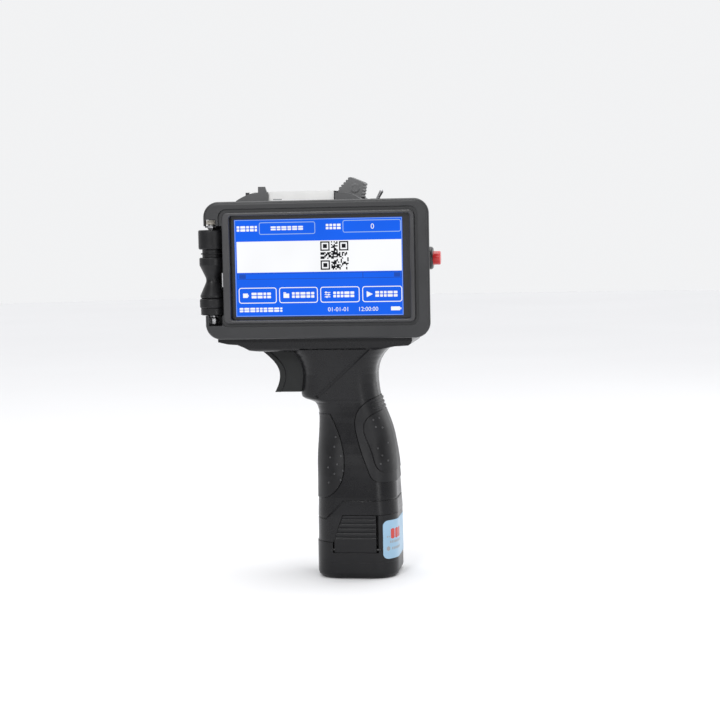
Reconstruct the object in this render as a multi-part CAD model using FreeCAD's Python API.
import FreeCAD, Part
import math
import os

# Handheld date code inkjet printer in the shape of a pistol.
# Millimetres. +Z is up and the origin is the centre of the battery's flat base.
# -X is the printing direction, -Y is the side with the screen.

os.makedirs("parts", exist_ok=True)
Vector = FreeCAD.Vector

# ---- driving dimensions ----

# screen head: the front shell that carries the screen
SHELL_LEFT, SHELL_RIGHT = -79.0, 46.4
SHELL_LOW, SHELL_HIGH = 137.0, 213.0
SHELL_FRONT, SHELL_BACK = -40.0, -10.0
SHELL_CORNER = 8.4
SHELL_EDGE = 1.8
SHELL_WALL = 3.0
SHELL_SIDE = 2.8
SHELL_DRAFT = 4.2

# moat in the front face, the bezel that stands in it and the sight it frames
MOAT_LEFT, MOAT_RIGHT = -70.5, 40.0
MOAT_LOW, MOAT_HIGH = 143.9, 208.9
MOAT_CORNER = 4.6
MOAT_DEPTH = 1.3
BEZEL_LEFT, BEZEL_RIGHT = -68.3, 38.15
BEZEL_LOW, BEZEL_HIGH = 145.9, 206.9
BEZEL_CORNER = 3.0
BEZEL_PROUD = 1.0
SIGHT_LEFT, SIGHT_RIGHT = -64.3, 35.7
SIGHT_LOW, SIGHT_HIGH = 147.6, 205.1
SIGHT_CORNER = 1.4
PANEL_THICK = 1.2
DISPLAY_THICK = 3.2

# rollers at the printing end
ROLLER_X = -76.0
NEAR_ROLLER_Y = -32.0
FAR_ROLLER_Y = 36.0
CHANNEL_WALL_X = -68.4
CHANNEL_LOW, CHANNEL_HIGH = 150.2, 199.8
CHANNEL_DEPTH = 16.6
POCKET_LOW, POCKET_HIGH = 144.5, 203.3
POCKET_FRONT = -35.6
ARM_THICK = 0.8
WHEEL_ROOM = 7.9
AXLE_R = 1.5
RUNNING_GAP = 0.05
UPPER_WHEEL_R = 7.4
LOWER_WHEEL_R = 7.4
GUIDE_RIM_R = 7.1
GUIDE_WAIST_R = 3.6
GUIDE_WAIST_Z = 169.9
FAR_WALL_X = -70.5
FAR_CHANNEL_LOW, FAR_CHANNEL_HIGH = 152.0, 196.0

# rear housing
HOUSING_LEFT, HOUSING_RIGHT = -77.6, 33.0
HOUSING_LOW, HOUSING_HIGH = 137.1, 213.3
HOUSING_FAR = 44.0
HOUSING_CORNER = 6.5
HOUSING_WALL = 2.6

# ink cartridge, the cradle that holds it and the slot for its snout
CRADLE_LEFT, CRADLE_RIGHT = -64.4, 4.6
CRADLE_NEAR, CRADLE_FAR = -8.0, 30.0
CRADLE_TOP = 218.3
LIP_LEFT = -66.8
CARTRIDGE_LEFT, CARTRIDGE_RIGHT = -62.0, -10.0
CARTRIDGE_NEAR, CARTRIDGE_FAR = -4.5, 26.5
CARTRIDGE_LOW, CARTRIDGE_HIGH = 148.0, 218.4
CARTRIDGE_GAP = 0.4
SNOUT_TIP = -80.0
SNOUT_NEAR, SNOUT_FAR = 1.0, 21.0
SNOUT_LOW, SNOUT_HIGH = 158.0, 182.0
NOZZLE_Y = 11.0
NOZZLE_Z = 170.0
NOTCH_LEFT, NOTCH_RIGHT = -48.5, -9.95
NOTCH_LOW = 212.0
LABEL_THICK = 0.25

# latch lever behind the cartridge
LATCH_X, LATCH_Z = -1.0, 206.6
LATCH_NEAR, LATCH_FAR = 3.5, 18.5
LATCH_PIN_R = 1.5
LATCH_BAY_LOW = 198.5
LATCH_SLOT_RIGHT = 14.2

# push button and toggle switch
BUTTON_Y, BUTTON_Z = -20.0, 179.9
BUTTON_R = 3.8
BUTTON_SEAT_X = 43.4
BUTTON_FLANGE_R = 6.35
TOGGLE_X, TOGGLE_Y = 12.4, -3.4
TOGGLE_TILT = 29.0
TOGGLE_PIVOT_Z = 211.0
TOGGLE_BARREL_R = 3.0

# pistol handle
BELLY_HALF = 24.0
BELLY_LOW = 128.6
HANDLE_WALL = 2.4
TRIGGER_HALF = 7.2
SLOT_GAP = 0.4
PAD_PROUD = 0.35
PAD_GAP = 0.5
PANEL_GROOVE = 0.7
PAD_DEPTH = 1.2
GROOVE_DEPTH = 0.7

# battery
BATTERY_LEFT, BATTERY_RIGHT = -23.0, 23.2
BATTERY_HALF = 24.0
BATTERY_CORNER = 14.0
CAP_HIGH = 9.3
STEP_LOW, STEP_HIGH = 21.0, 36.4
STEM_HIGH = 57.0
CELL_R = 9.1
CELL_LONG = 50.0
CELL_PLACES = [(9.0, -9.25), (9.0, 9.25), (-7.0, 0.0)]
LATCH_PLATE = 3.0
PRESS_PIN_Z = 16.6
PRESS_PIN_Y = 22.3
PRESS_PIN_R = 0.8

# Cross-sections of the handle: height, front, back, half width, corner radius.
HANDLE_SECTIONS = [
    (20.6, -22.6, 23.5, 24.0, 14.0),
    (36.0, -22.5, 23.4, 23.9, 14.0),
    (46.0, -22.3, 22.9, 23.2, 14.2),
    (58.0, -22.4, 22.4, 22.0, 14.5),
    (64.0, -22.6, 22.1, 21.0, 14.8),
    (70.0, -22.6, 21.5, 19.9, 15.0),
    (76.0, -22.3, 20.6, 18.9, 15.0),
    (80.0, -22.0, 19.9, 18.4, 14.9),
    (84.0, -21.8, 18.9, 18.0, 14.8),
    (88.0, -21.6, 17.6, 17.7, 14.6),
    (91.0, -21.6, 16.4, 17.6, 14.5),
    (94.0, -22.0, 15.2, 17.4, 14.2),
    (97.0, -22.9, 14.1, 17.3, 14.0),
    (99.0, -24.3, 13.5, 17.3, 13.8),
    (100.2, -27.2, 13.2, 17.4, 13.7),
    (101.2, -30.2, 13.0, 17.4, 13.6),
    (102.2, -31.5, 12.8, 17.5, 13.5),
    (103.6, -31.8, 12.5, 17.6, 13.4),
    (106.0, -31.6, 12.1, 17.8, 13.3),
    (110.0, -31.0, 11.6, 18.1, 13.1),
    (115.0, -30.4, 11.4, 18.6, 13.0),
    (119.0, -30.9, 12.0, 19.2, 13.0),
    (122.0, -31.8, 13.0, 20.0, 13.1),
    (125.0, -33.3, 14.7, 20.9, 13.3),
    (128.0, -35.8, 17.4, 22.0, 13.6),
    (131.0, -39.3, 21.0, 23.0, 13.8),
    (137.0, -45.3, 28.5, 23.6, 14.0),
]


# ---- plain building blocks ----

def box(x0, x1, y0, y1, z0, z1):
    return Part.makeBox(x1 - x0, y1 - y0, z1 - z0, Vector(x0, y0, z0))


def rod_x(y, z, radius, x0, x1):
    return Part.makeCylinder(radius, x1 - x0, Vector(x0, y, z), Vector(1, 0, 0))


def rod_y(x, z, radius, y0, y1):
    return Part.makeCylinder(radius, y1 - y0, Vector(x, y0, z), Vector(0, 1, 0))


def rod_z(x, y, radius, z0, z1):
    return Part.makeCylinder(radius, z1 - z0, Vector(x, y, z0), Vector(0, 0, 1))


def rounded_wire(low_u, high_u, low_v, high_v, radius, place):
    """Closed wire of four lines and four arcs; place turns (u, v) into a point."""
    edges = []
    corners = [
        (high_u - radius, low_v + radius, -90.0),
        (high_u - radius, high_v - radius, 0.0),
        (low_u + radius, high_v - radius, 90.0),
        (low_u + radius, low_v + radius, 180.0),
    ]
    ends = []
    for u, v, start in corners:
        points = []
        for turn in (0.0, 45.0, 90.0):
            angle = math.radians(start + turn)
            points.append(place(u + radius * math.cos(angle), v + radius * math.sin(angle)))
        ends.append(points)
    for index, points in enumerate(ends):
        edges.append(Part.Arc(points[0], points[1], points[2]).toShape())
        after = ends[(index + 1) % 4][0]
        edges.append(Part.LineSegment(points[2], after).toShape())
    return Part.Wire(edges)


def slab(x0, x1, z0, z1, radius, y0, y1):
    """Rounded rectangle seen along Y, from y0 to y1."""
    wire = rounded_wire(x0, x1, z0, z1, radius, lambda u, v: Vector(u, y0, v))
    return Part.Face(wire).extrude(Vector(0, y1 - y0, 0))


def post(x0, x1, half, radius, z0, z1):
    """Rounded rectangle seen along Z, from z0 to z1."""
    wire = rounded_wire(x0, x1, -half, half, radius, lambda u, v: Vector(u, v, z0))
    return Part.Face(wire).extrude(Vector(0, 0, z1 - z0))


def plate(points, y0, y1):
    """Polygon given as (x, z) points, from y0 to y1."""
    corners = [Vector(x, y0, z) for x, z in points]
    wire = Part.makePolygon(corners + corners[:1])
    return Part.Face(wire).extrude(Vector(0, y1 - y0, 0))


def curved_plate(stretches, y0, y1):
    """Outline of (x, z) stretches: two points make a line, more make a smooth curve."""
    edges = []
    for stretch in stretches:
        points = [Vector(x, y0, z) for x, z in stretch]
        if len(points) == 2:
            edges.append(Part.LineSegment(points[0], points[1]).toShape())
        else:
            curve = Part.BSplineCurve()
            curve.interpolate(points)
            edges.append(curve.toShape())
    wire = Part.Wire(edges)
    return Part.Face(wire).extrude(Vector(0, y1 - y0, 0))


def turned(profile, x, y):
    """Solid of revolution about the vertical line at x, y; profile is (radius, z) points."""
    corners = [Vector(x + r, y, z) for r, z in profile]
    wire = Part.makePolygon(corners + corners[:1])
    return Part.Face(wire).revolve(Vector(x, y, 0), Vector(0, 0, 1), 360)


def joined(shapes):
    whole = shapes[0].fuse(shapes[1:])
    return whole.removeSplitter()


def rounded_edges(shape, radius, wanted):
    """Rounds the edges whose centre of mass passes the test."""
    edges = [edge for edge in shape.Edges if wanted(edge.CenterOfMass)]
    return shape.makeFillet(radius, edges)


def coil(radius, wire_r, pitch, length):
    """Open coil spring that starts at the origin and runs up Z."""
    path = Part.makeHelix(pitch, length, radius)
    ring = Part.Wire([Part.Circle(Vector(radius, 0, 0), Vector(0, 1, 0), wire_r).toShape()])
    return Part.Wire(path).makePipeShell([ring], True, True)


# ---- screen head ----

def leaning_slab(x0, x1, z0, z1, radius, y0, y1, lean):
    """Rounded rectangle from y0 to y1 whose right side leans in by the given distance."""
    near = rounded_wire(x0, x1, z0, z1, radius, lambda u, v: Vector(u, y0, v))
    far = rounded_wire(x0, x1 - lean, z0, z1, radius, lambda u, v: Vector(u, y1, v))
    return Part.makeLoft([near, far], True, True)


def roller_room():
    """Channel for the near rollers, and a pocket at each end of it for the axle's fixings."""
    back = SHELL_FRONT + CHANNEL_DEPTH
    outside = SHELL_LEFT - 2.0
    return [
        box(outside, CHANNEL_WALL_X, SHELL_FRONT, back, CHANNEL_LOW, CHANNEL_HIGH),
        box(outside, -71.8, POCKET_FRONT, back, CHANNEL_HIGH, POCKET_HIGH),
        box(-78.0, -71.8, SHELL_FRONT, POCKET_FRONT, CHANNEL_HIGH, POCKET_HIGH),
        box(outside, -69.5, POCKET_FRONT, back, POCKET_LOW, CHANNEL_LOW),
        box(-76.8, -69.5, SHELL_FRONT, POCKET_FRONT, POCKET_LOW, CHANNEL_LOW),
    ]


def front_shell():
    shell = leaning_slab(SHELL_LEFT, SHELL_RIGHT, SHELL_LOW, SHELL_HIGH, SHELL_CORNER,
                         SHELL_FRONT, SHELL_BACK, SHELL_DRAFT)
    shell = rounded_edges(shell, SHELL_EDGE, lambda c: c.y < SHELL_FRONT + 0.01)
    inside_front = SHELL_FRONT + SHELL_WALL
    cavity = leaning_slab(-67.0, SHELL_RIGHT - SHELL_SIDE, SHELL_LOW + 2.4, SHELL_HIGH - 2.4, 3.0,
                          inside_front, SHELL_BACK, SHELL_DRAFT - 0.4)
    back_wall = box(HOUSING_RIGHT - HOUSING_WALL, SHELL_RIGHT, SHELL_BACK - 2.4, SHELL_BACK, SHELL_LOW, SHELL_HIGH)
    cavity = cavity.cut(back_wall)
    behind_channel = box(-76.3, -66.0, SHELL_FRONT + CHANNEL_DEPTH + 2.4, SHELL_BACK, 147.0, 202.5)
    shell = shell.cut([cavity, behind_channel])
    seat_low = BUTTON_SEAT_X - 4.0
    seat = rod_x(BUTTON_Y, BUTTON_Z, BUTTON_FLANGE_R + 1.0, seat_low, BUTTON_SEAT_X)
    spot_face = rod_x(BUTTON_Y, BUTTON_Z, BUTTON_FLANGE_R + 0.3, BUTTON_SEAT_X, SHELL_RIGHT)
    button_hole = rod_x(BUTTON_Y, BUTTON_Z, 5.05, seat_low, BUTTON_SEAT_X)
    moat = slab(MOAT_LEFT, MOAT_RIGHT, MOAT_LOW, MOAT_HIGH, MOAT_CORNER, SHELL_FRONT, SHELL_FRONT + MOAT_DEPTH)
    window = slab(SIGHT_LEFT - 0.3, SIGHT_RIGHT + 0.3, SIGHT_LOW - 0.3, SIGHT_HIGH + 0.3, SIGHT_CORNER,
                  SHELL_FRONT, inside_front)
    return joined([shell, seat]).cut([spot_face, button_hole, moat, window] + roller_room())


def screen_bezel():
    front = SHELL_FRONT - BEZEL_PROUD
    foot = SHELL_FRONT + MOAT_DEPTH
    rim = slab(BEZEL_LEFT, BEZEL_RIGHT, BEZEL_LOW, BEZEL_HIGH, BEZEL_CORNER, front, foot)
    sight = slab(SIGHT_LEFT, SIGHT_RIGHT, SIGHT_LOW, SIGHT_HIGH, SIGHT_CORNER, front, foot)
    return rounded_edges(rim.cut(sight), 0.7, lambda c: c.y < front + 0.01)


def touch_panel():
    back = SHELL_FRONT + SHELL_WALL
    return slab(-66.7, 36.9, 145.9, 207.5, 1.0, back, back + PANEL_THICK)


def display_module():
    front = SHELL_FRONT + SHELL_WALL + PANEL_THICK
    module = box(-66.2, 36.4, front, front + DISPLAY_THICK, 146.4, 207.0)
    tail = box(-24.0, -6.0, front + 1.4, front + 1.8, 141.0, 146.4)
    return joined([module, tail])


def main_board():
    back = SHELL_FRONT + SHELL_WALL + PANEL_THICK + DISPLAY_THICK + 3.4
    board = box(-60.0, 30.0, back, back + 1.6, 149.0, 204.0)
    processor = box(-30.0, -14.0, back + 1.6, back + 3.0, 170.0, 186.0)
    memory = box(-8.0, 4.0, back + 1.6, back + 2.8, 172.0, 182.0)
    coin_cell = rod_y(18.0, 192.0, 6.0, back + 1.6, back + 5.0)
    plug_row = box(-54.0, -36.0, back + 1.6, back + 8.0, 152.0, 158.0)
    return joined([board, processor, memory, coin_cell, plug_row])


def board_spacers():
    front = SHELL_FRONT + SHELL_WALL + PANEL_THICK + DISPLAY_THICK
    return Part.makeCompound([
        rod_y(x, z, 2.4, front, front + 3.4)
        for x in (-56.0, 26.0)
        for z in (153.0, 200.0)
    ])


# ---- rollers ----

def wheel(x, y, radius, bore, low, high, edge):
    wheel_body = rod_z(x, y, radius, low, high)
    wheel_body = wheel_body.makeFillet(edge, [e for e in wheel_body.Edges if len(e.Vertexes) == 1])
    return wheel_body.cut(rod_z(x, y, bore, low, high))


def upper_wheel():
    return wheel(ROLLER_X, NEAR_ROLLER_Y, UPPER_WHEEL_R, AXLE_R + RUNNING_GAP, 186.9, 197.7, 0.9)


def roller_spacer():
    bore = AXLE_R + 0.01
    profile = [
        (bore, 182.5), (5.4, 182.5), (5.4, 184.0), (6.2, 184.2), (6.2, 184.8),
        (5.4, 185.0), (5.4, 186.8), (bore, 186.8),
    ]
    return turned(profile, ROLLER_X, NEAR_ROLLER_Y)


def guide_roller():
    x = ROLLER_X
    bore = AXLE_R + RUNNING_GAP
    low = [(bore, 159.9), (6.6, 159.9), (7.0, 160.4), (7.0, 161.4), (3.95, 168.2)]
    high = [(3.95, 171.6), (GUIDE_RIM_R, 178.2), (GUIDE_RIM_R, 181.9), (6.7, 182.4), (bore, 182.4)]
    low_points = [Vector(x + r, NEAR_ROLLER_Y, z) for r, z in low]
    high_points = [Vector(x + r, NEAR_ROLLER_Y, z) for r, z in high]
    waist = Vector(x + GUIDE_WAIST_R, NEAR_ROLLER_Y, GUIDE_WAIST_Z)
    edges = Part.makePolygon(low_points).Edges
    edges.append(Part.Arc(low_points[-1], waist, high_points[0]).toShape())
    edges += Part.makePolygon(high_points + [low_points[0]]).Edges
    outline = Part.Wire(edges)
    return Part.Face(outline).revolve(Vector(x, NEAR_ROLLER_Y, 0), Vector(0, 0, 1), 360)


def lower_wheel_tyre():
    return wheel(ROLLER_X, NEAR_ROLLER_Y, LOWER_WHEEL_R, 4.5, 154.2, 159.7, 1.1)


def lower_wheel_hub():
    bore = AXLE_R + RUNNING_GAP
    profile = [(bore, 150.4), (6.5, 150.4), (6.9, 150.8), (6.9, 154.2), (4.5, 154.2), (4.5, 159.7), (bore, 159.7)]
    return turned(profile, ROLLER_X, NEAR_ROLLER_Y)


def roller_axle():
    return rod_z(ROLLER_X, NEAR_ROLLER_Y, AXLE_R, POCKET_LOW + 0.1, POCKET_HIGH - 0.1)


def roller_bracket():
    """Steel strip behind the rollers, with a forked arm at each end that the axle is clamped in."""
    back = SHELL_FRONT + CHANNEL_DEPTH
    low = CHANNEL_LOW - ARM_THICK - 0.1
    spine = box(-78.2, -71.9, back - ARM_THICK, back, low, CHANNEL_HIGH)
    low_arm = box(-79.3, -73.0, -33.4, back, low, low + ARM_THICK)
    high_arm = box(-79.3, -73.0, -33.4, back, CHANNEL_HIGH - ARM_THICK, CHANNEL_HIGH)
    fork = rod_z(ROLLER_X, NEAR_ROLLER_Y, 2.25, low, CHANNEL_HIGH)
    return joined([spine, low_arm, high_arm]).cut(fork)


def axle_collar():
    profile = [(1.51, 200.7), (2.83, 200.7), (2.83, 203.0), (1.51, 203.0)]
    return turned(profile, ROLLER_X, NEAR_ROLLER_Y)


def axle_dome():
    profile = [(1.51, 197.9), (1.8, 197.9), (2.2, 198.6), (2.2, 200.2), (1.9, 200.7), (1.51, 200.7)]
    return turned(profile, ROLLER_X, NEAR_ROLLER_Y)


def axle_nut():
    """Rounded nut under the rollers, with a shoulder that sits in the fork."""
    profile = [
        (1.51, 144.7), (2.2, 144.7), (2.8, 145.6), (2.9, 147.0), (2.7, 148.6), (2.2, 149.2),
        (2.2, 150.2), (1.51, 150.2),
    ]
    return turned(profile, ROLLER_X, NEAR_ROLLER_Y)


def wear_strip():
    return box(CHANNEL_WALL_X - 0.8, CHANNEL_WALL_X, -38.8, -34.0, 166.1, 173.8)


def far_roller():
    return wheel(ROLLER_X, FAR_ROLLER_Y, UPPER_WHEEL_R, AXLE_R + RUNNING_GAP,
                 FAR_CHANNEL_LOW + 1.0, FAR_CHANNEL_HIGH - 1.0, 1.2)


def far_roller_axle():
    return rod_z(ROLLER_X, FAR_ROLLER_Y, AXLE_R, FAR_CHANNEL_LOW - 4.0, FAR_CHANNEL_HIGH + 4.0)


# ---- rear housing and what it holds ----

SCREW_PLACES = [(-52.0, 205.5), (-52.0, 144.5), (25.0, 205.5), (25.0, 144.5)]


def rear_housing():
    y0, y1 = SHELL_BACK, HOUSING_FAR
    housing = slab(HOUSING_LEFT, HOUSING_RIGHT, HOUSING_LOW, HOUSING_HIGH, HOUSING_CORNER, y0, y1)
    housing = rounded_edges(housing, 4.0, lambda c: c.y > y1 - 0.01)
    wall = HOUSING_WALL
    cavity = slab(HOUSING_LEFT + wall, HOUSING_RIGHT - wall, HOUSING_LOW + wall, HOUSING_HIGH - wall,
                  HOUSING_CORNER - wall, y0, y1 - wall)
    kept = box(HOUSING_LEFT, -67.0, 25.0, y1, FAR_CHANNEL_LOW - 5.0, FAR_CHANNEL_HIGH + 5.0)
    kept = joined([kept] + [rod_y(x, z, 4.0, CRADLE_FAR, y1) for x, z in SCREW_PLACES])
    housing = housing.cut(cavity.cut(kept))
    mouth = box(CRADLE_LEFT - 0.1, CRADLE_RIGHT + 0.1, CRADLE_NEAR - 0.1, CRADLE_FAR + 0.1,
                HOUSING_HIGH - wall, HOUSING_HIGH)
    snout_slot = box(HOUSING_LEFT, CRADLE_LEFT, SNOUT_NEAR - 0.6, SNOUT_FAR + 0.6,
                     SNOUT_LOW - 1.0, HOUSING_HIGH)
    channel = box(HOUSING_LEFT, FAR_WALL_X, FAR_ROLLER_Y - WHEEL_ROOM, y1,
                  FAR_CHANNEL_LOW, FAR_CHANNEL_HIGH)
    room = rod_z(ROLLER_X, FAR_ROLLER_Y, WHEEL_ROOM, FAR_CHANNEL_LOW, FAR_CHANNEL_HIGH)
    axle_hole = rod_z(ROLLER_X, FAR_ROLLER_Y, AXLE_R + RUNNING_GAP,
                      FAR_CHANNEL_LOW - 4.0, FAR_CHANNEL_HIGH + 4.0)
    lever_slot = box(CRADLE_RIGHT, LATCH_SLOT_RIGHT, LATCH_NEAR - 0.6, LATCH_FAR + 0.5,
                     HOUSING_HIGH - wall, HOUSING_HIGH)
    toggle_hole = rod_z(TOGGLE_X, TOGGLE_Y, TOGGLE_BARREL_R, HOUSING_HIGH - wall, HOUSING_HIGH)
    tools = [mouth, snout_slot, channel, room, axle_hole, lever_slot, toggle_hole]
    for x, z in SCREW_PLACES:
        tools.append(rod_y(x, z, 1.45, CRADLE_FAR, y1))
        tools.append(rod_y(x, z, 2.9, y1 - 2.4, y1))
    return housing.cut(tools)


def housing_screws():
    screws = []
    for x, z in SCREW_PLACES:
        head = rod_y(x, z, 2.7, HOUSING_FAR - 2.4, HOUSING_FAR - 0.6)
        shank = rod_y(x, z, 1.4, CRADLE_FAR + 1.0, HOUSING_FAR - 2.4)
        cross = box(x - 1.6, x + 1.6, HOUSING_FAR - 1.4, HOUSING_FAR, z - 0.35, z + 0.35)
        cross = cross.fuse(box(x - 0.35, x + 0.35, HOUSING_FAR - 1.4, HOUSING_FAR, z - 1.6, z + 1.6))
        screws.append(joined([head, shank]).cut(cross))
    return Part.makeCompound(screws)


def cartridge_cradle():
    floor = HOUSING_LOW + HOUSING_WALL
    rest = HOUSING_HIGH + 0.05
    outline = [
        [(CRADLE_RIGHT, floor), (CRADLE_RIGHT, 213.4)],
        [(CRADLE_RIGHT, 213.4), (-0.1, 216.3), (-4.6, 217.3)],
        [(-4.6, 217.3), (-9.95, 217.5)],
        [(-9.95, 217.5), (-48.5, CRADLE_TOP)],
        [(-48.5, CRADLE_TOP), (-55.6, CRADLE_TOP - 0.1)],
        [(-55.6, CRADLE_TOP - 0.1), (-60.9, 216.8), (-64.0, 215.4), (LIP_LEFT, 213.8)],
        [(LIP_LEFT, 213.8), (LIP_LEFT, rest)],
        [(LIP_LEFT, rest), (CRADLE_LEFT, rest)],
        [(CRADLE_LEFT, rest), (CRADLE_LEFT, floor)],
        [(CRADLE_LEFT, floor), (CRADLE_RIGHT, floor)],
    ]
    body = curved_plate(outline, CRADLE_NEAR, CRADLE_FAR)
    tab = plate([(-53.9, 217.6), (-53.9, 221.5), (-50.1, 221.5), (-49.1, 218.4), (-49.1, 217.6)],
                CRADLE_NEAR, CRADLE_NEAR + 2.4)
    body = joined([body, tab])
    gap = CARTRIDGE_GAP
    pocket = box(CARTRIDGE_LEFT - gap, CARTRIDGE_RIGHT + gap, CARTRIDGE_NEAR - gap, CARTRIDGE_FAR + gap,
                 CARTRIDGE_LOW, 230.0)
    underside = box(-60.0, 2.0, CRADLE_NEAR + 3.0, CRADLE_FAR - 3.0, floor, CARTRIDGE_LOW - 2.6)
    slot = box(LIP_LEFT, CARTRIDGE_LEFT, SNOUT_NEAR - 0.6, SNOUT_FAR + 0.6, SNOUT_LOW - 1.0, 230.0)
    notch = box(NOTCH_LEFT, NOTCH_RIGHT, CRADLE_NEAR, CARTRIDGE_NEAR, NOTCH_LOW, 230.0)
    bay = box(CARTRIDGE_RIGHT, CRADLE_RIGHT, LATCH_NEAR - 0.5, LATCH_FAR + 0.5, LATCH_BAY_LOW, 230.0)
    core = box(CARTRIDGE_RIGHT + 3.0, CRADLE_RIGHT - 2.6, CRADLE_NEAR + 3.0, CRADLE_FAR - 3.0,
               CARTRIDGE_LOW, LATCH_BAY_LOW - 2.6)
    pin_hole = rod_y(LATCH_X, LATCH_Z, LATCH_PIN_R + 0.01, CRADLE_NEAR + 2.0, CRADLE_FAR - 2.0)
    return body.cut([pocket, underside, slot, notch, bay, core, pin_hole])


def latch_pin():
    return rod_y(LATCH_X, LATCH_Z, LATCH_PIN_R, CRADLE_NEAR + 3.0, CRADLE_FAR - 3.0)


def latch_lever():
    """Thumb lever with a ribbed edge on each side and a nose that presses the cartridge."""
    outline = [
        (-9.7, 207.4), (-9.7, 218.7), (-8.3, 220.3), (-6.0, 222.6), (-4.0, 224.7), (-2.5, 226.2),
        (4.6, 223.2), (4.4, 219.5), (3.3, 214.4), (1.9, 208.0), (1.6, 203.8), (-3.6, 203.8),
    ]
    lever = plate(outline, LATCH_NEAR, LATCH_FAR)
    ribs = []
    for share in (0.0, 0.25, 0.5, 0.75, 1.0):
        ribs.append(rod_y(-8.5 + 5.3 * share, 220.0 + 5.3 * share, 0.75, LATCH_NEAR, LATCH_FAR))
        ribs.append(rod_y(3.4 + 1.1 * share, 215.2 + 7.0 * share, 0.75, LATCH_NEAR, LATCH_FAR))
    lever = joined([lever] + ribs)
    emblem_pad = rod_y(0.0, 219.8, 2.6, LATCH_NEAR - 0.4, LATCH_NEAR)
    lever = joined([lever, emblem_pad])
    return lever.cut(rod_y(LATCH_X, LATCH_Z, LATCH_PIN_R + RUNNING_GAP, LATCH_NEAR, LATCH_FAR))


def ink_cartridge():
    body = box(CARTRIDGE_LEFT, CARTRIDGE_RIGHT, CARTRIDGE_NEAR, CARTRIDGE_FAR, CARTRIDGE_LOW, CARTRIDGE_HIGH)
    middle = (CARTRIDGE_LOW + CARTRIDGE_HIGH) / 2
    body = rounded_edges(body, 0.9, lambda c: abs(c.z - middle) < 1.0 and abs(c.y - NOZZLE_Y) > 15.0)
    snout = box(SNOUT_TIP, CARTRIDGE_LEFT + 2.0, SNOUT_NEAR, SNOUT_FAR, SNOUT_LOW, SNOUT_HIGH)
    snout = rounded_edges(snout, 2.0, lambda c: c.x < SNOUT_TIP + 0.01)
    return joined([body, snout])


def nozzle_plate():
    return box(SNOUT_TIP - 0.3, SNOUT_TIP, NOZZLE_Y - 3.0, NOZZLE_Y + 3.0, NOZZLE_Z - 7.5, NOZZLE_Z + 7.5)


def cartridge_label():
    x0, x1 = CARTRIDGE_LEFT + 2.5, CARTRIDGE_RIGHT - 1.0
    near = box(x0, x1, CARTRIDGE_NEAR - LABEL_THICK, CARTRIDGE_NEAR, 166.0, CARTRIDGE_HIGH + LABEL_THICK)
    top = box(x0, x1, CARTRIDGE_NEAR, CARTRIDGE_FAR - 6.0, CARTRIDGE_HIGH, CARTRIDGE_HIGH + LABEL_THICK)
    return joined([near, top])


def nozzle_guard():
    """Stainless U-plate on the printing face, open above so that the snout can lift out."""
    thick = 0.6
    guard = box(HOUSING_LEFT - thick, HOUSING_LEFT, SNOUT_NEAR - 8.0, SNOUT_FAR + 5.0, 149.0, 201.0)
    return guard.cut(box(HOUSING_LEFT - thick, HOUSING_LEFT, SNOUT_NEAR - 0.6, SNOUT_FAR + 0.6,
                         SNOUT_LOW - 1.0, 201.0))


# ---- switches ----

def button_bushing():
    face = BUTTON_SEAT_X + 3.2
    flange = rod_x(BUTTON_Y, BUTTON_Z, BUTTON_FLANGE_R, BUTTON_SEAT_X, face)
    flange = rounded_edges(flange, 1.5, lambda c: c.x > face - 0.1)
    barrel = rod_x(BUTTON_Y, BUTTON_Z, 5.0, BUTTON_SEAT_X - 9.0, BUTTON_SEAT_X)
    bore = rod_x(BUTTON_Y, BUTTON_Z, BUTTON_R + RUNNING_GAP, BUTTON_SEAT_X - 7.6, face)
    return joined([flange, barrel]).cut(bore)


def button_nut():
    low, high = BUTTON_SEAT_X - 6.2, BUTTON_SEAT_X - 4.0
    return rod_x(BUTTON_Y, BUTTON_Z, 7.0, low, high).cut(rod_x(BUTTON_Y, BUTTON_Z, 5.0, low, high))


def button_cap():
    tip = BUTTON_SEAT_X + 7.1
    cap = rod_x(BUTTON_Y, BUTTON_Z, BUTTON_R, BUTTON_SEAT_X - 4.6, tip)
    return rounded_edges(cap, 0.6, lambda c: c.x > tip - 0.1)


def toggle_body():
    body = box(TOGGLE_X - 4.0, TOGGLE_X + 4.0, TOGGLE_Y - 3.4, TOGGLE_Y + 3.4, 199.0, HOUSING_HIGH - HOUSING_WALL)
    barrel = rod_z(TOGGLE_X, TOGGLE_Y, TOGGLE_BARREL_R, HOUSING_HIGH - HOUSING_WALL, HOUSING_HIGH + 0.3)
    well = Part.makeCone(1.35, 2.75, 4.4, Vector(TOGGLE_X, TOGGLE_Y, HOUSING_HIGH - 4.1))
    return joined([body, barrel]).cut(well)


def toggle_lever():
    shank = Part.makeCone(0.8, 1.1, 7.4, Vector(TOGGLE_X, TOGGLE_Y, TOGGLE_PIVOT_Z))
    tip = Part.makeSphere(1.13, Vector(TOGGLE_X, TOGGLE_Y, TOGGLE_PIVOT_Z + 7.5))
    pivot = rod_y(TOGGLE_X, TOGGLE_PIVOT_Z, 0.9, TOGGLE_Y - 1.0, TOGGLE_Y + 1.0)
    lever = joined([shank, tip, pivot])
    lever.rotate(Vector(TOGGLE_X, TOGGLE_Y, TOGGLE_PIVOT_Z), Vector(0, 1, 0), TOGGLE_TILT)
    return lever


# ---- pistol handle ----

def handle_loft(grow, sections):
    """Handle skin through the cross-sections, grown outwards by a distance."""
    wires = []
    for z, front, back, half, radius in sections:
        wires.append(rounded_wire(front - grow, back + grow, -half - grow, half + grow, radius + grow,
                                  lambda u, v, z=z: Vector(u, v, z)))
    return Part.makeLoft(wires, True, True)


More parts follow.
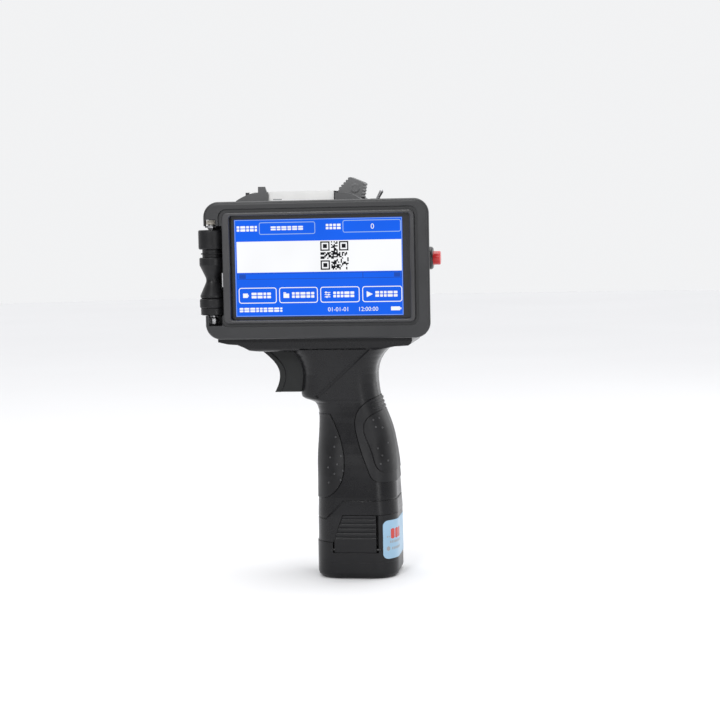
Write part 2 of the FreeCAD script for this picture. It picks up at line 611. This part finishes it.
def belly(shrink):
    """Long low body under the head, rounded along its two lower edges."""
    s = shrink
    outline = [
        (-75.6 + s, 137.0), (-75.6 + s, 134.5 + s), (-70.0, 133.2 + s), (-64.6, 132.8 + s),
        (-61.0, 131.2 + s), (-58.2, 129.4 + s), (-52.0, BELLY_LOW + s), (10.0, BELLY_LOW + s),
        (24.5, 131.2 + s), (31.9 - s, 131.6 + s), (33.4 - s, 132.7 + s), (34.2 - s, 134.3 + s), (34.2 - s, 137.0),
    ]
    side = plate(outline, -BELLY_HALF + s, BELLY_HALF - s)
    radius = 6.0 - s
    cross = rounded_wire(-BELLY_HALF + s, BELLY_HALF - s, BELLY_LOW + s, 160.0, radius,
                         lambda u, v: Vector(-90.0, u, v))
    return side.common(Part.Face(cross).extrude(Vector(150.0, 0, 0)))


def step_region(extra):
    """Everything under the stepped edge where the handle's collar meets the battery."""
    points = [
        (-60.0, -10.0), (-60.0, STEP_LOW - extra), (-12.3 + extra, STEP_LOW - extra),
        (-6.8 + extra, STEP_HIGH - extra), (60.0, STEP_HIGH - extra), (60.0, -10.0),
    ]
    return plate(points, -60.0, 60.0)


def front_pad_region():
    return curved_plate([
        [(-13.6, 92.6), (-9.8, 84.6), (-6.6, 75.0), (-5.4, 65.0), (-6.6, 56.4), (-10.4, 50.0), (-16.9, 45.8)],
        [(-16.9, 45.8), (-40.0, 44.6)],
        [(-40.0, 44.6), (-40.0, 92.6)],
        [(-40.0, 92.6), (-13.6, 92.6)],
    ], -40.0, 40.0)


def rear_pad_region():
    return curved_plate([
        [(16.0, 103.0), (9.6, 101.0), (4.4, 97.6), (1.2, 93.2), (0.1, 87.4), (1.3, 79.8), (4.0, 70.7),
         (7.7, 61.1), (10.0, 56.6), (13.9, 54.8)],
        [(13.9, 54.8), (40.0, 53.6)],
        [(40.0, 53.6), (40.0, 103.0)],
        [(40.0, 103.0), (16.0, 103.0)],
    ], -40.0, 40.0)


def rear_panel_region():
    return curved_plate([
        [(15.0, 94.4), (10.6, 92.4), (7.2, 89.6), (5.8, 85.6), (7.6, 78.1), (10.8, 69.6), (13.2, 63.0),
         (15.6, 60.8), (19.0, 60.4)],
        [(19.0, 60.4), (40.0, 60.4)],
        [(40.0, 60.4), (40.0, 94.4)],
        [(40.0, 94.4), (15.0, 94.4)],
    ], -40.0, 40.0)


def groove_region():
    """Thin bands that run round the handle as moulded lines."""
    w = 0.55
    neck = plate([(-21.2 - w, 102.3 + w), (9.6 - w, 130.0 + w), (9.6 + w, 130.0 - w), (-21.2 + w, 102.3 - w)],
                 -40.0, 40.0)
    collar = plate([
        (40.0, 44.1), (-5.9, 44.1), (-15.9, 33.8), (-40.0, 33.8), (-40.0, 34.6), (-16.3, 34.6),
        (-6.3, 44.9), (40.0, 44.9),
    ], -40.0, 40.0)
    level = box(-30.0, 9.0, -40.0, 40.0, 129.6, 130.4)
    return Part.makeCompound([neck.fuse(level), collar])


def pad_layer(top, bottom, region):
    """Part of the handle's skin inside a region, from bottom to top measured outwards."""
    return handle_loft(top, HANDLE_SECTIONS).cut(handle_loft(bottom, HANDLE_SECTIONS)).common(region)


HANDLE_SCREWS = [(4.0, 116.0), (-5.5, 92.0), (-1.0, 72.0)]


def handle_body():
    """Whole handle before it is split into its two halves."""
    skin = handle_loft(0.0, HANDLE_SECTIONS)
    battery_room = handle_loft(-HANDLE_WALL, HANDLE_SECTIONS[:5]).common(box(-40, 40, -40, 40, 0, 58.6))
    neck_room = handle_loft(-HANDLE_WALL, HANDLE_SECTIONS[6:]).common(box(-40, 40, -40, 40, 76.5, 134.0))
    mid_room = handle_loft(-HANDLE_WALL, HANDLE_SECTIONS[3:8]).common(box(-40, 40, -40, 40, 61.2, 77.0))
    inside = joined([mid_room, neck_room])
    lip = box(-40.0, -19.0, -40.0, 40.0, 94.0, 104.2)
    frame = box(-40.0, -19.0, -TRIGGER_HALF - 3.0, TRIGGER_HALF + 3.0, 104.0, 131.0)
    posts = [rod_y(x, z, 3.6, -40.0, 40.0) for x, z in HANDLE_SCREWS]
    kept = joined([lip, frame] + posts)
    inside = inside.cut(kept)
    outer = joined([skin, belly(0.0)])
    belly_room = belly(HANDLE_WALL)
    outer = outer.cut([belly_room, inside, battery_room, step_region(0.0)])
    slot = box(-60.0, -16.8, -TRIGGER_HALF - SLOT_GAP, TRIGGER_HALF + SLOT_GAP, 104.3, 128.3)
    socket = box(-9.2, 11.2, -9.2, 9.2, 58.0, 62.0)
    return outer.cut([slot, socket])


def handle_half(body, y0, y1):
    """One half of the handle with the pockets for its pads and the moulded lines."""
    half = body.common(box(-100.0, 100.0, y0, y1, 0.0, 140.0))
    above = 0.05
    for region in (front_pad_region(), rear_pad_region()):
        half = half.cut(pad_layer(above, -PAD_DEPTH, region))
    return half.cut(pad_layer(above, -GROOVE_DEPTH, groove_region()))


def handle_halves():
    body = handle_body()
    near = handle_half(body, -50.0, 0.0)
    near = near.cut([rod_y(x, z, 1.3, -7.0, 0.0) for x, z in HANDLE_SCREWS])
    far = handle_half(body, 0.0, 50.0)
    for x, z in HANDLE_SCREWS:
        far = far.cut([rod_y(x, z, 1.35, 0.0, 13.0), rod_y(x, z, 2.8, 13.0, 40.0)])
    return near, far


def handle_screws():
    screws = []
    for x, z in HANDLE_SCREWS:
        head = rod_y(x, z, 2.6, 13.0, 15.0)
        shank = rod_y(x, z, 1.25, -6.5, 13.0)
        cross = box(x - 1.6, x + 1.6, 14.0, 16.0, z - 0.35, z + 0.35)
        cross = cross.fuse(box(x - 0.35, x + 0.35, 14.0, 16.0, z - 1.6, z + 1.6))
        screws.append(joined([head, shank]).cut(cross))
    return Part.makeCompound(screws)


def front_grip_pad():
    region = front_pad_region()
    region.translate(Vector(-PAD_GAP, 0, 0))
    return pad_layer(PAD_PROUD, -PAD_DEPTH, region)


def rear_grip_pad():
    """Rubber pad with a raised panel inside a groove, and three low bands across its top."""
    region = rear_pad_region()
    region.translate(Vector(PAD_GAP, 0, 0))
    panel = rear_panel_region()
    groove = rear_panel_region()
    groove.translate(Vector(-PANEL_GROOVE, 0, 0))
    pad = pad_layer(PAD_PROUD, -PAD_DEPTH, region)
    pad = pad.cut(pad_layer(PAD_PROUD + 0.1, -0.3, groove.cut(panel)))
    bands = []
    for low in (96.4, 98.7, 101.0):
        bands.append(plate([(9.0, low - 1.3), (30.0, low), (30.0, low + 1.0), (9.0, low - 0.3)], -14.0, 14.0))
    bands = Part.makeCompound(bands).common(region)
    raised = pad_layer(PAD_PROUD + 0.35, -0.2, panel)
    tall = pad_layer(PAD_PROUD + 0.6, -0.2, bands)
    return joined([pad, raised, tall])


def trigger():
    front = [(-53.0, 127.9), (-47.5, 122.9), (-44.1, 117.4), (-43.8, 112.0), (-45.0, 108.0), (-46.6, 104.7)]
    outline = [
        front,
        [front[-1], (-24.0, 104.7)],
        [(-24.0, 104.7), (-24.0, 127.9)],
        [(-24.0, 127.9), front[0]],
    ]
    body = curved_plate(outline, -TRIGGER_HALF, TRIGGER_HALF)
    rim_back = [(x + 3.2, z) for x, z in reversed(front)]
    rim_outline = [
        front,
        [front[-1], rim_back[0]],
        rim_back,
        [rim_back[-1], front[0]],
    ]
    rim = curved_plate(rim_outline, -TRIGGER_HALF - 0.9, TRIGGER_HALF + 0.9)
    hollow = box(-36.0, -24.0, -TRIGGER_HALF + 2.0, TRIGGER_HALF - 2.0, 107.0, 124.8)
    return joined([body, rim]).cut(hollow)


def trigger_switch():
    body = box(-15.4, -3.0, -6.4, 6.4, 107.0, 124.0)
    plunger = rod_x(0.0, 115.0, 1.6, -29.6, -15.4)
    return joined([body, plunger])


def trigger_spring():
    wire_r = 0.35
    spring = coil(3.0, wire_r, 2.9, 19.0)
    spring.rotate(Vector(0, 0, 0), Vector(0, 1, 0), 90)
    spring.translate(Vector(-35.4, 0.0, 115.0))
    return spring


def terminal_block():
    body = box(-9.0, 11.0, -9.0, 9.0, 57.9, 68.0)
    flange = box(-11.0, 13.0, -11.0, 11.0, 62.0, 64.0)
    return joined([body, flange])


# ---- battery ----

def battery_prism(grow, z0, z1):
    return post(BATTERY_LEFT - grow, BATTERY_RIGHT + grow, BATTERY_HALF + grow, BATTERY_CORNER + grow, z0, z1)


PRESS_OUTLINE = [(-11.7, 15.2), (-11.7, 22.6), (-6.6, 36.1), (12.1, 36.1), (12.1, 15.2)]
PRESS_POCKET = [(-12.6, 14.9), (-12.6, 21.4), (-11.9, 22.6), (-6.9, 36.4), (13.5, 36.4), (13.5, 14.9)]


def battery_case():
    body = battery_prism(0.0, CAP_HIGH, 36.2).common(step_region(0.2))
    stem = post(-17.9, 19.3, 19.4, 10.5, 20.0, STEM_HIGH)
    body = joined([body, stem])
    pocket_depth = BATTERY_HALF - 5.2
    pockets = [
        plate(PRESS_POCKET, -BATTERY_HALF - 1.0, -pocket_depth),
        plate(PRESS_POCKET, pocket_depth, BATTERY_HALF + 1.0),
    ]
    core = post(-16.3, 17.7, 17.4, 9.0, CAP_HIGH, STEM_HIGH - 1.6)
    cells = [rod_z(x, y, CELL_R + 0.05, 4.0, 5.0 + CELL_LONG) for x, y in CELL_PLACES]
    holes = [rod_x(side * PRESS_PIN_Y, PRESS_PIN_Z, PRESS_PIN_R + 0.01, -14.0, 15.0) for side in (-1, 1)]
    return body.cut(pockets + cells + holes + [core])


def battery_cells():
    return Part.makeCompound([rod_z(x, y, CELL_R, 4.3, 4.3 + CELL_LONG) for x, y in CELL_PLACES])


def battery_cap():
    cap = battery_prism(0.0, 0.0, CAP_HIGH)
    cap = rounded_edges(cap, 3.6, lambda c: c.z < 0.01)
    seats = [rod_z(x, y, CELL_R + 0.05, 4.0, CAP_HIGH) for x, y in CELL_PLACES]
    return cap.cut(seats)


def battery_label():
    sheet = battery_prism(0.15, 11.2, 33.0).cut(battery_prism(0.0, 11.0, 34.0))
    region = slab(15.8, 60.0, 11.2, 33.0, 3.0, -40.0, 40.0)
    return sheet.common(region)


def battery_contacts():
    return Part.makeCompound([box(-2.0, 4.0, y - 1.5, y + 1.5, STEM_HIGH, STEM_HIGH + 0.4) for y in (-5.0, 5.0)])


def battery_press(side):
    """Release plate on one side of the battery, hinged at its lower end, with grip ribs."""
    inner, outer = BATTERY_HALF - LATCH_PLATE, BATTERY_HALF
    reach = (inner, outer) if side > 0 else (-outer, -inner)
    slab_shape = plate(PRESS_OUTLINE, reach[0], reach[1])
    slab_shape = slab_shape.common(battery_prism(0.0, 0.0, 60.0))
    grooves = []
    for index in range(5):
        z = 23.6 + 2.6 * index
        grooves.append(rod_x(side * (outer + 0.25), z, 0.75, -20.0, 20.0))
    hole = rod_x(side * PRESS_PIN_Y, PRESS_PIN_Z, PRESS_PIN_R + RUNNING_GAP, -20.0, 20.0)
    return slab_shape.cut(grooves + [hole])


def press_pins():
    return Part.makeCompound([rod_x(side * PRESS_PIN_Y, PRESS_PIN_Z, PRESS_PIN_R, -13.4, 14.6) for side in (-1, 1)])


# ---- all parts ----

HANDLE_NEAR, HANDLE_FAR = handle_halves()

NODES = {
    "front_shell": front_shell(),
    "screen_bezel": screen_bezel(),
    "touch_panel": touch_panel(),
    "display_module": display_module(),
    "board_spacers": board_spacers(),
    "main_board": main_board(),
    "upper_wheel": upper_wheel(),
    "roller_spacer": roller_spacer(),
    "guide_roller": guide_roller(),
    "lower_wheel_tyre": lower_wheel_tyre(),
    "lower_wheel_hub": lower_wheel_hub(),
    "roller_axle": roller_axle(),
    "roller_bracket": roller_bracket(),
    "axle_collar": axle_collar(),
    "axle_dome": axle_dome(),
    "axle_nut": axle_nut(),
    "wear_strip": wear_strip(),
    "far_roller": far_roller(),
    "far_roller_axle": far_roller_axle(),
    "rear_housing": rear_housing(),
    "housing_screws": housing_screws(),
    "cartridge_cradle": cartridge_cradle(),
    "latch_pin": latch_pin(),
    "latch_lever": latch_lever(),
    "ink_cartridge": ink_cartridge(),
    "nozzle_plate": nozzle_plate(),
    "cartridge_label": cartridge_label(),
    "nozzle_guard": nozzle_guard(),
    "button_bushing": button_bushing(),
    "button_nut": button_nut(),
    "button_cap": button_cap(),
    "toggle_body": toggle_body(),
    "toggle_lever": toggle_lever(),
    "handle_near_half": HANDLE_NEAR,
    "handle_far_half": HANDLE_FAR,
    "handle_screws": handle_screws(),
    "front_grip_pad": front_grip_pad(),
    "rear_grip_pad": rear_grip_pad(),
    "trigger": trigger(),
    "trigger_switch": trigger_switch(),
    "trigger_spring": trigger_spring(),
    "terminal_block": terminal_block(),
    "battery_case": battery_case(),
    "battery_cap": battery_cap(),
    "battery_cells": battery_cells(),
    "battery_label": battery_label(),
    "battery_contacts": battery_contacts(),
    "battery_press_near": battery_press(-1),
    "battery_press_far": battery_press(1),
    "press_pins": press_pins(),
}

for name, shape in NODES.items():
    solids = shape.Solids
    print(name, len(solids), round(shape.Volume, 1), shape.isValid())
    shape.exportStep("parts/%s.step" % name)
